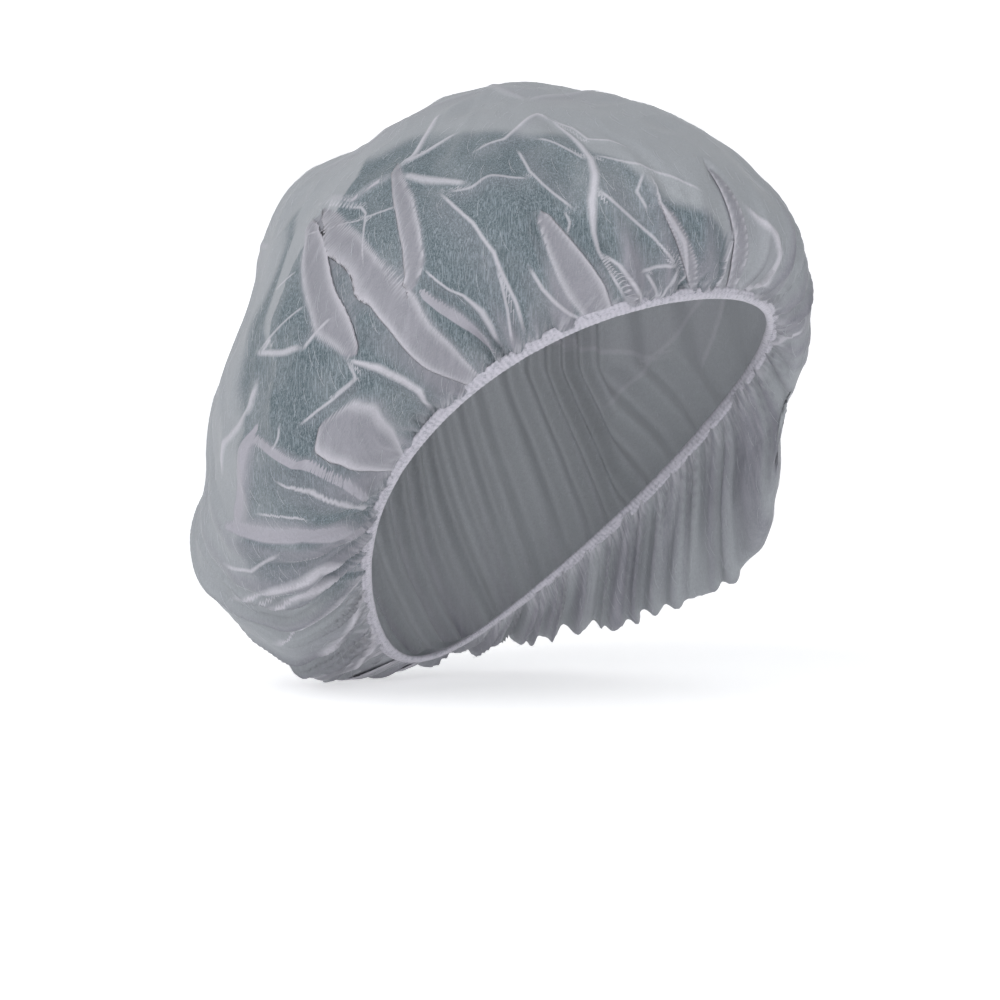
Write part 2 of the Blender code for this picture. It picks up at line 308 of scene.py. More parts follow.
# creases of the same side: height in mm (- is a groove), width of the painted light beside it (+ on its
# right or above it), then the places as (x, y, half width)
creasesInView = [
    (0.9, 0, [(255, 437, 4), (282, 451, 6), (315, 464, 7), (345, 479, 6), (366, 493, 4.5)]),
    (0.9, 0, [(419, 288, 2), (427, 296, 4.5), (442, 307, 6), (457, 316, 7), (473, 328, 6), (485, 340, 5),
              (493, 350, 4)]),
    (0.7, -24, [(439, 192, 1.5), (454, 206, 2), (473, 223, 2), (483, 238, 2), (494, 252, 2.2), (499, 266, 2.2),
                (507, 283, 2), (516, 302, 2), (524, 330, 1.8)]),
    (0.8, 0, [(551, 123, 1.2), (566, 134, 2), (580, 146, 3), (591, 160, 3.6), (595, 176, 4.2), (592, 199, 4.4),
              (593, 216, 4), (594, 233, 3), (598, 250, 1.8), (602, 258, 1.5), (613, 277, 1.5), (626, 300, 1.5)]),
    (0.7, -8, [(424, 269, 1.2), (437, 281, 1.3), (449, 290, 1.3), (463, 295, 1.6), (473, 303, 2.4), (482, 311, 3.4),
               (490, 325, 3.4), (498, 343, 2.4)]),
    (0.7, -18, [(530, 268, 2), (542, 288, 2), (554, 300, 2), (569, 312, 1.6), (584, 322, 1.6)]),
    (0.8, -14, [(650, 178, 1), (659, 203, 2), (673, 225, 3), (683, 242, 3.2), (685, 263, 2.2), (685, 275, 1.6),
                (676, 296, 1.4)]),
    (0.6, 14, [(518, 152, 1.5), (526, 166, 1.5), (531, 176, 1.5), (542, 185, 1.5), (552, 192, 1.5), (562, 199, 1.5),
               (573, 208, 1.5)]),
    (0.6, 22, [(596, 190, 1.5), (611, 201, 1.6), (628, 215, 1.6), (652, 236, 1.6), (671, 259, 1.6), (675, 266, 1.5)]),
    (0.7, -10, [(602, 254, 1.5), (619, 265, 2), (632, 283, 2.2), (642, 302, 2)]),
    (0.7, -12, [(475, 152, 1.5), (505, 142, 2), (522, 129, 2.3), (538, 119, 2.4), (551, 123, 2)]),
    (0.6, 0, [(551, 123, 1.5), (572, 129, 1.5), (587, 140, 1.5), (610, 142, 1.4), (626, 148, 1.2)]),
    (0.5, 0, [(538, 142, 1.3), (563, 150, 1.4), (584, 159, 1.4)]),
    (0.5, 0, [(595, 155, 1.4), (630, 165, 1.4), (668, 178, 1.4), (698, 192, 1.2)]),
    (0.5, -12, [(449, 190, 1.6), (476, 185, 1.8), (504, 180, 1.6), (528, 182, 1.2)]),
    (0.5, 0, [(307, 237, 1.4), (335, 229, 1.4), (365, 218, 1.4), (399, 206, 1.4)]),
    (0.8, 0, [(400, 169, 4), (413, 155, 3.6), (429, 133, 3), (440, 118, 2)]),
    (0.7, 0, [(404, 165, 3.5), (428, 148, 3), (456, 133, 2)]),
    (0.8, 0, [(404, 176, 5), (430, 178, 5), (464, 181, 3)]),
    (0.6, 0, [(318, 204, 1.5), (333, 207, 1.6), (361, 207, 1.6), (366, 214, 1.6), (365, 237, 1.4), (365, 267, 1.2)]),
    (0.8, 0, [(330, 200, 4), (353, 200, 6), (384, 181, 6), (397, 173, 5)]),
    (0.9, -8, [(347, 360, 2), (379, 368, 4.5), (402, 379, 4.5), (418, 388, 4), (424, 400, 2.5), (434, 414, 2.5)]),
    (0.5, 0, [(347, 362, 1.8), (355, 379, 1.8), (333, 396, 1.6)]),
    (0.6, 12, [(306, 350, 2), (316, 336, 2), (333, 319, 1.6)]),
    (0.7, 0, [(258, 353, 3), (283, 353, 3.5), (304, 348, 3)]),
    (0.5, 0, [(261, 351, 1.5), (277, 333, 1.5), (304, 307, 1.4)]),
    (0.5, 0, [(278, 290, 1.4), (295, 273, 1.4)]),
    (0.5, 0, [(642, 176, 1.6), (637, 191, 1.6), (647, 209, 1.4)]),
    (0.5, 0, [(640, 269, 1.6), (663, 263, 1.8), (673, 263, 1.6)]),
    (0.5, 0, [(644, 271, 1.6), (652, 285, 1.8), (656, 302, 1.6)]),
    (0.5, 8, [(675, 265, 1.6), (667, 283, 1.8), (656, 302, 1.6)]),
    (0.6, 0, [(497, 268, 1.3), (502, 285, 1.5), (507, 306, 1.6), (511, 336, 1.4)]),
    (0.5, 0, [(565, 212, 1.3), (570, 222, 1.5), (567, 234, 1.2)]),
    (0.9, -26, [(745, 207, 3), (768, 236, 4), (772, 252, 4), (760, 281, 3.5), (735, 304, 3)]),
    (-0.9, 0, [(704, 293, 2), (714, 284, 2.4), (719, 255, 2), (727, 232, 1.4)]),
    (0.8, 10, [(713, 297, 2), (723, 262, 2.6), (735, 226, 2)]),
    (-0.8, 0, [(744, 314, 2), (752, 300, 2.6), (759, 291, 1.6)]),
    (0.7, 0, [(762, 341, 2.5), (783, 339, 3), (801, 329, 2.5)]),
    (0.6, -10, [(303, 424, 1.4), (330, 401, 1.6), (355, 380, 1.6)]),
    (0.5, 0, [(282, 426, 1.5), (279, 449, 1.4)]),
    (0.9, 0, [(255, 430, 8), (253, 446, 13), (250, 475, 15), (246, 503, 15), (243, 524, 13)]),
    (0.9, 0, [(234, 522, 10), (262, 526, 13), (300, 527, 14), (335, 525, 12), (364, 522, 9)]),
    (0.6, 0, [(262, 512, 1.5), (300, 514, 1.5), (350, 514, 1.5)]),
    (0.6, 0, [(290, 556, 1.5), (322, 545, 1.5), (358, 532, 1.5)]),
    (0.7, 0, [(254, 380, 3), (248, 409, 4.5), (229, 443, 5), (224, 472, 4)]),
    (0.7, 0, [(282, 479, 1.5), (315, 487, 3), (342, 497, 3.6), (366, 504, 3)]),
    (0.6, 0, [(232, 562, 2), (254, 569, 2), (282, 548, 2)]),
    (1.0, 0, [(368, 546, 3), (315, 564, 5), (277, 587, 5), (234, 600, 4)]),
    (1.0, 0, [(372, 558, 3), (330, 579, 4.5), (299, 596, 4.5), (263, 610, 4)]),
    (1.0, 0, [(377, 570, 3), (338, 596, 4.5), (307, 623, 4.5), (277, 644, 4)]),
    (1.0, 0, [(386, 585, 3), (353, 610, 4.5), (319, 648, 5)]),
    (1.0, 0, [(394, 606, 3), (374, 640, 4.5), (352, 668, 4)]),
]

# the cloth is stretched and sheer as far as this line, in the same places of the photograph's frame; inside it,
# painted shade between the fibres stands for the dark seen through the cloth
stretchedTo = [(286, 330), (292, 240), (320, 190), (372, 152), (430, 128), (520, 130), (610, 146), (680, 182),
               (716, 225), (727, 262), (722, 300)]

# laid pleats of the sides out of view, from the top down as (turn, along, width in mm)
pleats = [
    (1, [(-22, 0.26, 1), (-17, 0.17, 3), (-12, 0.07, 4), (-9, 0, 2)]),
    (1, [(-8, 0.34, 1), (-5, 0.20, 5), (-2, 0.08, 6), (0, 0, 3)]),
    (-1, [(187, 0.84, 2), (182, 0.46, 17), (177, 0.18, 12), (173, 0, 4)]),
    (-1, [(208, 0.84, 2), (203, 0.46, 17), (196, 0.18, 12), (190, 0, 4)]),
    (1, [(-138, 0.76, 1), (-140, 0.46, 14), (-147, 0.20, 10), (-154, 0.02, 3)]),
]

# packing creases out of view: (turn, along) of both ends, half width and height in mm
creases = [
    (-38, 0.66, -64, 0.92, 1.5, 0.5), (-38, 0.66, 10, 0.74, 1.5, 0.5), (-120, 0.74, -60, 0.86, 1.6, 0.5),
    (20, 0.70, 70, 0.62, 1.2, 0.6), (60, 0.78, 130, 0.72, 1.2, 0.6), (95, 0.50, 140, 0.56, 1.2, 0.6),
    (70, 0.62, 112, 0.44, 1.1, 0.5), (70, 0.62, 60, 0.84, 1.2, 0.5), (70, 0.62, 84, 0.48, 1.1, 0.6),
    (70, 0.62, 40, 0.48, 1.1, 0.6), (150, 0.74, 205, 0.66, 1.2, 0.6), (170, 0.52, 215, 0.46, 1.2, 0.6),
    (-150, 0.70, -118, 0.62, 1.2, 0.6), (160, 0.60, 150, 0.80, 1.2, 0.6), (200, 0.66, 190, 0.48, 1.2, 0.6),
    (-160, 0.44, -128, 0.52, 1.2, 0.6), (130, 0.72, 118, 0.52, 1.1, 0.6), (10, 0.74, 28, 0.52, 1.1, 0.5),
    (28, 0.52, 46, 0.40, 1.1, 0.6), (46, 0.40, 66, 0.46, 1.1, 0.5),
]

# cross-section of a laid pleat, from its open side over the stack of three layers
pleatProfile = [
    # share of the zone, place across (1 = pleat width), height in layer gaps, edge (share of painted highlight)
    (0.00, -1.50, 0.00, 0), (0.16, -0.54, 0.00, 0), (0.17, -0.50, 0.00, 0), (0.26, 0.48, 0.10, 0),
    (0.31, 0.56, 0.55, 0), (0.36, 0.48, 1.00, 0), (0.45, -0.46, 1.00, 0.3), (0.50, -0.56, 1.50, 1),
    (0.54, -0.50, 2.05, 1), (0.58, -0.34, 2.25, 0.2), (0.70, 0.34, 2.10, 0.1), (0.76, 0.56, 1.70, 0.9),
    (0.79, 0.66, 1.20, 0.1), (0.85, 0.90, 0.40, 0), (1.00, 1.50, 0.00, 0),
]
profileTurns = (0.17, 0.31, 0.50, 0.76, 0.79)  # shares at which a column always lies, so edges run true


def spreadEvenly(density, count, start, end):  # places whose spacing follows the density
    fine = np.linspace(start, end, 4001)
    share = np.concatenate([[0.0], np.cumsum((density(fine)[1:] + density(fine)[:-1]) / 2)])
    return np.interp(np.linspace(0, share[-1], count), share, fine)


def clothPlaces():  # turn and along of every point, row by row, with fewer columns further up
    def fine(turn):
        return 0.64 + 0.56 * smoothStep((turn + 150) / 30) * smoothStep((15 - turn) / 25)
    turns = spreadEvenly(fine, cloth["columns"] + 1, -180, 180)[:-1]
    first, second = cloth["thinOut"]
    low = spreadEvenly(lambda a: 1 / (0.55 + 1.6 * a), cloth["rows"], 0, first)
    middle = np.linspace(first, second, cloth["upperRows"][0])[1:]
    high = np.linspace(second, 1, cloth["upperRows"][1])[1:-1]
    return [(a, turns) for a in low] + [(a, turns[::2]) for a in middle] + [(a, turns[::4]) for a in high]


def clothFaces(rows):
    faces, start = [], 0
    counts = [len(turns) for along, turns in rows]
    for n, m in zip(counts, counts[1:]):
        above = start + n
        if n == m:
            faces += [(start + i, start + (i + 1) % n, above + (i + 1) % n, above + i) for i in range(n)]
        else:
            for i in range(m):
                a, b, c = start + 2 * i, start + 2 * i + 1, start + (2 * i + 2) % n
                d, e = above + i, above + (i + 1) % m
                faces += [(a, b, d), (b, e, d), (b, c, e)]
        start = above
    n = counts[-1]
    return faces + [(start + i, start + (i + 1) % n, start + n) for i in range(n)]


def viewFrame():  # the camera's place, its three directions and its scale in pixels a metre, a metre away
    a, e = math.radians(studio["cameraTurn"]), math.radians(studio["cameraRise"])
    right = np.array([math.cos(a), math.sin(a), 0])
    back = np.array([math.sin(a) * math.cos(e), -math.cos(a) * math.cos(e), math.sin(e)])
    aim = right * studio["aimRight"] + np.array([0, 0, studio["aimHeight"]])
    scale = studio["lens"] / studio["sensorWidth"] * studio["frame"]
    return aim + back * studio["cameraDistance"], right, np.cross(back, right), back, scale


def pixelSize():  # of the photograph's frame, in metres at the cap
    return studio["cameraDistance"] / viewFrame()[-1]


def findInView(base, spots):  # turn and along of places in the photograph's frame
    eye, right, up, back, scale = viewFrame()
    ray = base["points"] - eye
    depth = -(ray @ back)
    centre = studio["frame"] / 2
    seen = np.stack([centre + scale * (ray @ right) / depth, centre - scale * (ray @ up) / depth], axis=-1)
    hidden = np.sum(ray * base["normals"], axis=-1) > -0.02 * depth
    turnStep, alongStep = 360 / seen.shape[0], 1 / (seen.shape[1] - 1)
    found = []
    for spot in spots:
        off = np.sum((seen - spot[:2]) ** 2, axis=-1) + hidden * 1e6
        i, k = np.unravel_index(np.argmin(off), off.shape)
        k = min(max(k, 1), seen.shape[1] - 2)
        slopes = np.stack([(seen[(i + 1) % seen.shape[0], k] - seen[i - 1, k]) / 2,
                           (seen[i, k + 1] - seen[i, k - 1]) / 2], axis=1)
        step = np.clip(np.linalg.lstsq(slopes, np.array(spot[:2]) - seen[i, k], rcond=None)[0], -1.5, 1.5)
        found.append(((i + step[0]) * turnStep - 180, (k + step[1]) * alongStep))
    return np.array(found)


def pleatLines(base):  # every pleat as side, along, turn, width in metres, from the hem up
    pixel, lines = pixelSize(), []
    for side, spots in bandsInView:
        found = findInView(base, spots)
        lines.append((side, found[::-1, 1], found[::-1, 0], np.array(spots)[::-1, 2] * pixel))
    for side, places in pleats:
        rows = np.array(places, float)[::-1]
        lines.append((side, rows[:, 1], rows[:, 0], rows[:, 2] * mm))
    finished = []
    for side, along, turn, width in lines:
        along = np.maximum.accumulate(along + np.arange(len(along)) * 1e-4)
        if along[0] < 0.035:
            along = along - along[0] * np.linspace(1, 0, len(along))
        finished.append((side, *softened(along, turn), softened(along, width)[1]))
    return finished


def softened(at, values, rounds=14):  # a smooth line through the places instead of a bent one
    fine = np.linspace(at[0], at[-1], 120)
    line = np.interp(fine, at, values)
    for again in range(rounds):
        line[1:-1] = (line[:-2] + 2 * line[1:-1] + line[2:]) / 4
    return fine, line


def layPleats(rows, base):  # moves the points round the bag row by row, and lifts them
    profile = np.array(pleatProfile, float)
    lines = pleatLines(base)
    parts = [[] for k in range(4)]
    for along, flat in rows:
        turn = flat.copy()
        lift, stacked, edge = np.zeros((3, len(turn)))
        for side, at, middles, widths in lines:
            if not at[0] <= along < at[-1]:
                continue
            middle = np.interp(along, at, middles)
            nearby = np.interp([along - 0.01, along + 0.01], at, middles)
            width = np.interp(along, at, widths) * smoothStep((at[-1] - along) / 0.04)
            if at[0] > 0.01:
                width *= smoothStep((along - at[0]) / 0.03)
            if width < 0.3 * mm:
                continue
            point = onBase(base, np.array([middle]), np.array([along]))[0][0]
            perDegree = math.hypot(point[0], point[1] - form["bagSetback"]) * math.pi / 180
            length = base["lengths"][int((middle + 180) * 2) % len(base["lengths"])]
            slope = (nearby[1] - nearby[0]) / 0.02
            tilt = 1 / math.hypot(1, slope * perDegree / length)
            reach = width / (perDegree * max(tilt, 0.3))
            across = side * ((turn - middle + 180) % 360 - 180) / reach
            inside = np.nonzero(np.abs(across) < 1.5)[0]
            strength = float(smoothStep((len(inside) - 6) / 8))
            share = (across[inside] + 1.5) / 3
            if strength > 0.5:
                for mark in profileTurns:
                    share[np.argmin(np.abs(share - mark))] = mark
            gap = cloth["layerGap"] * (1 + float(outOfView(middle))) * strength * min(1, width / (3 * mm))
            gap *= 0.4 + 0.6 * float(smoothStep(along / 0.05))
            moved = np.interp(share, profile[:, 0], profile[:, 1]) * strength + across[inside] * (1 - strength)
            turn[inside] = middle + side * moved * reach
            lift[inside] += np.interp(share, profile[:, 0], profile[:, 2]) * gap
            within = np.minimum(share / 0.17, (1 - share) / 0.24) * strength
            stacked[inside] = np.maximum(stacked[inside], np.clip(within, 0, 2))
            edge[inside] = np.maximum(edge[inside], np.interp(share, profile[:, 0], profile[:, 3]) * strength)
        for part, values in zip(parts, (turn, lift, stacked, edge)):
            part.append(values)
    return [np.concatenate(part + [[0.0]]) for part in parts]


def outOfView(turn):  # 1 on the sides that the photograph doesn't show
    turn = (turn + 180) % 360 - 180
    return 1 - smoothStep((turn + 165) / 20) * smoothStep((45 - turn) / 20)


def gatherLift(turn, along, stacked):  # lift, how deep in a gather, and how free the cloth is to wrinkle
    slope = np.interp(turn, [row[0] for row in lean], [row[1] for row in lean], period=360)
    foot = turn - slope * np.minimum(along, 0.5)
    lift, deep, away = np.zeros(turn.shape), np.zeros(turn.shape), outOfView(turn)
    for count, reach, height, hidden, seed in gathers:
        wave = 0.5 - 0.5 * np.cos(math.pi * (1 - np.abs(2 * ringNoise(foot, count * 2, seed) - 1)))
        own = reach * (0.5 + ringNoise(foot, count, seed + 20))
        fade = np.exp(-(along / own) ** 2) * (0.3 + 0.7 * smoothStep(along / (0.25 * reach)))
        out = 1 - away + away * hidden
        lift += (wave - 0.5) * height * mm * fade * cloth["gatherHeight"] * out
        deep += wave ** 2 * fade * height ** 0.5 / 2.1
    fromCalm = ((turn - cloth["calmTurn"] + 180) % 360 - 180) / cloth["calmWidth"]
    calm = 1 - 0.85 * np.exp(-fromCalm ** 2) * smoothStep(along / 0.05)
    calm *= 1 - 0.9 * smoothStep(stacked)
    number = cloth["ripples"]
    phase = np.radians(foot * number) + 5.0 * ringNoise(foot, number // 3, 51) + 2.5 * ringNoise(turn, 17, 53) * along
    size = 0.35 + 0.65 * ringNoise(foot, number // 2, 52)
    ripple = smoothStep(along / 0.10) * smoothStep((0.86 + 0.08 * ringNoise(foot, 30, 54) - along) / 0.42) * away
    swell = 0.4 + 0.6 * smoothStep((along - 0.16) / 0.24)
    lift += 0.5 * np.cos(phase) * size * ripple * swell * cloth["rippleHeight"]
    deep += 0.45 * np.maximum(0, np.cos(phase)) * size * ripple
    return lift * calm, deep, calm


def creaseRuns(base):  # every crease as turns, alongs, half widths, height, painted light beside it and strength of its painted tone
    pixel, runs = pixelSize(), []
    for height, beside, spots in creasesInView:
        turns, alongs = findInView(base, spots).T
        runs.append((turns, alongs, np.array(spots)[:, 2] * pixel, height * mm, beside * pixel, 1.0))
    share = np.linspace(0, 1, 7)
    for turn1, along1, turn2, along2, halfWidth, height in creases:
        runs.append((turn1 + (turn2 - turn1) * share, along1 + (along2 - along1) * share,
                     np.full(len(share), halfWidth * mm), height * mm, 12 * mm * (1 if turn1 > 0 else -1), 0.4))
    return runs


def besideRun(point, normal, ends, facing, halfWidths):  # distance, side, half width there, and fading at its ends
    where, hand, nearest, width = np.zeros((4, len(point)))
    nearest += 1
    width += 1
    total = 0.0
    for k in range(len(ends) - 1):
        run = ends[k + 1] - ends[k]
        long = math.sqrt(run @ run)
        away = point - ends[k]
        share = np.clip((away @ run) / (run @ run), 0, 1)
        off = np.linalg.norm(away - share[:, None] * run, axis=1) + 0.1 * (normal @ facing[k] < 0.2)
        closer = off < nearest
        nearest = np.where(closer, off, nearest)
        where = np.where(closer, total + share * long, where)
        width = np.where(closer, halfWidths[k] + (halfWidths[k + 1] - halfWidths[k]) * share, width)
        hand = np.where(closer, np.sign(away @ np.cross(facing[k], run)), hand)
        total += long
    return nearest, hand, width, np.minimum(1, np.minimum(where, total - where) / (0.12 * total) + 0.25)


# lift; the distance from the nearest crease in half widths, with and without its side as a sign; its tone, a
# painted highlight on a ridge and painted shade in a groove; the painted light beside it; and broad folds,
# 1 on their border and more inside
def creaseLift(turn, along, base):
    lift, tone, light, broad = np.zeros((4, len(turn)))
    across, apart = np.full((2, len(turn)), 9.0)
    point, normal = onBase(base, turn, along)
    pixel = pixelSize()
    for turns, alongs, halfWidths, height, beside, bright in creaseRuns(base):
        halfWidths = np.maximum(halfWidths, cloth["creaseWidth"] / 2)
        ends, facing = onBase(base, turns, alongs)
        middle = ends.mean(axis=0)
        radius = np.linalg.norm(ends - middle, axis=1).max() + max(abs(beside) * 2, 4 * halfWidths.max())
        near = np.nonzero(np.linalg.norm(point - middle, axis=1) < radius)[0]
        nearest, hand, width, taper = besideRun(point[near], normal[near], ends, facing, halfWidths)
        lift[near] += height * np.exp(-np.abs(nearest / np.maximum(width, cloth["ridgeWidth"] / 2)) ** 2.2) * taper
        narrow = float(smoothStep((7 * pixel - halfWidths.max()) / (2.5 * pixel)))
        closest = (nearest / width < apart[near]) & (narrow > 0.2)
        at = near[closest]
        apart[at] = (nearest / width)[closest]
        across[at] = apart[at] * np.where(hand[closest] < 0, -1, 1)
        # a raised crease gets a painted highlight, a groove painted shade
        strength = bright * min(1.0, 0.35 + 0.6 * abs(height) / mm) * (1 if height > 0 else -0.9)
        tone[at] = taper[closest] * narrow * strength
        over = np.where(hand < 0, 2 - nearest / width, 1.1 - nearest / width / 6)  # one crisp side, one that fades
        broad[near] = np.maximum(broad[near], np.clip(over, 0, 2) * taper ** 0.15 * (1 - narrow) * (nearest < 0.05))
        # painted light on one side of the crease, which is also lifted a little
        if beside:
            glow = 0.4 * np.exp(-(nearest / abs(beside)) ** 2) * (hand * beside > 0) * taper * (nearest < 0.05)
            light[near] += (1 - light[near]) * glow
            lift[near] += 0.35 * height * glow
    return lift, np.clip(across, -9, 9), np.minimum(apart, 9), tone, light, broad


def addObject(name, data, smooth=False):
    if smooth:
        data.polygons.foreach_set("use_smooth", np.ones(len(data.polygons), bool))
        data.update()
    added = bpy.data.objects.new(name, data)
    bpy.context.scene.collection.objects.link(added)
    return added


def makeCloth():
    base = makeBase()
    rows = clothPlaces()
    along = np.concatenate([np.full(len(turns), a) for a, turns in rows] + [[1.0]])
    flatTurn = np.concatenate([turns for a, turns in rows] + [[0.0]])
    turn, layers, stacked, edge = layPleats(rows, base)
    point, normal = onBase(base, turn, along)
    gather, deep, calm = gatherLift(turn, along, stacked)
    fold, across, apart, tone, light, broad = creaseLift(turn, along, base)
    broad *= stacked < 0.9
    deep += 0.5 * np.exp(-(along / 0.02) ** 2)
    rise = np.minimum(1, along / 0.05)
    slack = spaceNoise(point * (1, 1, 0.6), 26 * mm, 3) + 0.5 * spaceNoise(point * (1, 1, 0.7), 12 * mm, 4)
    ridges = 1 - 2 * np.abs(spaceNoise(point * (1, 1, 0.45), 15 * mm, 5))
    wrinkle = cloth["wrinkleHeight"] * (0.6 * slack + 0.35 * ridges) * rise * calm
    lift = layers + gather + fold * rise + wrinkle
    place = point + normal * lift[:, None]
    # within the stretched line the material paints the shade seen through the cloth (openWeb)
    seen = findInView(base, stretchedTo)
    order = np.argsort(seen[:, 0])
    wander = turn + 7 * spaceNoise(point, 20 * mm, 8)
    limit = np.interp(wander, seen[order, 0], seen[order, 1]) + 0.02 * spaceNoise(point, 12 * mm, 9)
    open = smoothStep((limit - along) / 0.05)
    open *= smoothStep((wander - seen[order[0], 0] + 6) / 8) * smoothStep((seen[order[-1], 0] + 6 - wander) / 8)
    mesh = bpy.data.meshes.new("bag_cloth")
    mesh.from_pydata(place.tolist(), [], clothFaces(rows))
    attributes = {"stacked": stacked, "gathered": deep, "acrossCrease": across, "fromCrease": apart,
                  "creaseTone": tone, "edge": edge, "broadFold": broad, "openWeb": open, "besideCrease": light,
                  "nearHem": np.exp(-(along / 0.03) ** 2)}
    for name, values in attributes.items():
        mesh.attributes.new(name, "FLOAT", "POINT").data.foreach_set("value", values.astype(np.float32))
    corners = np.zeros(len(mesh.loops), int)
    mesh.loops.foreach_get("vertex_index", corners)
    around = flatTurn[corners] / 360
    starts = np.zeros(len(mesh.polygons), int)
    mesh.polygons.foreach_get("loop_start", starts)
    face = np.searchsorted(starts, np.arange(len(corners)), side="right") - 1
    first = around[starts][face]
    around = np.where(around - first < -0.5, around + 1, np.where(around - first > 0.5, around - 1, around))
    uv = np.stack([around * 0.66, along[corners] * 0.30], axis=1)
    mesh.uv_layers.new(name="cloth").data.foreach_set("uv", uv.astype(np.float32).ravel())
    return addObject("bag_cloth", mesh, smooth=True)


# Hem: the elastic sewn into a narrow ruched strip
hemSizes = {
    "width": 4.8 * mm,
    "thickness": 2.4 * mm,
    "ruches": 372,
    "stepsPerRuche": 5,
    "sides": 16,
    "rucheDepth": 0.12,
    "stitchPitch": 1.9 * mm,
    "stitchLength": 1.7 * mm,
    "stitchThickness": 0.16 * mm,
    "stitchTilt": 38,           # degrees, to and fro
}


def hemPath(count):  # the hem's middle line with its directions, at even turns
    turn = np.arange(count) * 360 / count - 180
    coarse = [seamFrame(t) for t in np.arange(360) - 180.0]
    frames = []
    for k in range(3):
        values = np.array([frame[k] for frame in coarse])
        values = np.vstack([values, values[:1]])
        smooth = np.stack([np.interp(turn, np.arange(361) - 180, values[:, j]) for j in range(3)], axis=1)
        frames.append(smooth if k == 0 else unit(smooth))
    return turn, *frames


def makeHem():
    columns, sides = hemSizes["ruches"] * hemSizes["stepsPerRuche"], hemSizes["sides"]
    turn, middle, up, out = hemPath(columns)
    number = hemSizes["ruches"]
    drift = (ringNoise(turn, number // 3, 21) - 0.5) * 2.6 + (ringNoise(turn, number, 24) - 0.5) * 1.2
    size = 0.35 + 0.65 * ringNoise(turn, number // 2, 22)
    grid, shadedValley = np.zeros((columns, sides, 3)), np.zeros((columns, sides))
    for k in range(sides):
        angle = 2 * math.pi * k / sides
        slant = 1.1 * math.sin(angle) * (ringNoise(turn, number // 4, 25) - 0.5) + 0.5 * math.cos(angle)
        wave = (0.5 + 0.5 * np.cos(np.radians(number * turn) + drift + slant)) ** 0.7
        crumple = ringNoise(turn, number, 30 + k % (sides // 2)) - 0.5
        swell = 1 - hemSizes["rucheDepth"] * (1 - wave) * size + 0.04 * crumple
        seam = 1 - 0.14 * math.exp(-((math.cos(angle) - 0.30) / 0.20) ** 2)
        half = hemSizes["width"] / 2 * (1 + 0.08 * (ringNoise(turn, 130, 26 + (math.cos(angle) > 0)) - 0.5))
        grid[:, k] = (middle + (half * math.cos(angle) * (0.93 + 0.07 * wave))[:, None] * up
                      + (hemSizes["thickness"] / 2 * swell * seam * math.sin(angle))[:, None] * out)
        # painted shade in the ruches' valleys, with random crumples
        shadedValley[:, k] = np.clip((1 - wave) * size + 0.35 * crumple, 0, 1)
    faces = []
    for i in range(columns):
        j = (i + 1) % columns
        faces += [(i * sides + k, j * sides + k, j * sides + (k + 1) % sides, i * sides + (k + 1) % sides)
                  for k in range(sides)]
    mesh = bpy.data.meshes.new("ruched_hem")
    mesh.from_pydata(grid.reshape(-1, 3).tolist(), [], faces)
    mesh.attributes.new("shadedValley", "FLOAT", "POINT").data.foreach_set("value", shadedValley.ravel().astype(np.float32))
    return addObject("ruched_hem", mesh, smooth=True)


def nodeMaker(tree):  # adds nodes to a tree, with their settings and what goes into their sockets
    def add(kind, values={}, **settings):
        node = tree.nodes.new(kind)
        for setting, value in settings.items():
            setattr(node, setting, value)
        for socket, value in values.items():
            if isinstance(value, bpy.types.NodeSocket):
                tree.links.new(value, node.inputs[socket])
            else:
                node.inputs[socket].default_value = value
        return node
    return add


def reckon(add, operation, *values):  # a Math node of sockets or numbers
    return add("ShaderNodeMath", dict(enumerate(values)), operation=operation).outputs[0]


def growOn(guide, name, sizes, layOut):  # a piece that a node tree lays out on a guide, kept as a plain mesh
    tree = bpy.data.node_groups.new(name, "GeometryNodeTree")
    kinds = {int: "NodeSocketInt", float: "NodeSocketFloat"}
    tree.interface.new_socket("Geometry", in_out="OUTPUT", socket_type="NodeSocketGeometry")
    tree.interface.new_socket("Geometry", in_out="INPUT", socket_type="NodeSocketGeometry")
    for label, value in sizes.items():
        tree.interface.new_socket(label, in_out="INPUT", socket_type=kinds.get(type(value), "NodeSocketMaterial"))
    size, result, add = tree.nodes.new("NodeGroupInput").outputs, tree.nodes.new("NodeGroupOutput"), nodeMaker(tree)
    real = add("GeometryNodeRealizeInstances", {"Geometry": layOut(add, size).outputs[0]})
    painted = add("GeometryNodeSetMaterial", {"Geometry": real.outputs[0], "Material": size["Material"]})
    tree.links.new(painted.outputs[0], result.inputs["Geometry"])
    modifier = guide.modifiers.new(name, "NODES")
    modifier.node_group = tree
    for item in tree.interface.items_tree:
        if item.in_out == "INPUT" and item.name in sizes:
            modifier[item.identifier] = sizes[item.name]
    bpy.context.view_layer.update()
    mesh = bpy.data.meshes.new_from_object(guide.evaluated_get(bpy.context.evaluated_depsgraph_get()))
    mesh.name = name
    guide.modifiers.remove(modifier)
    return addObject(name, mesh)


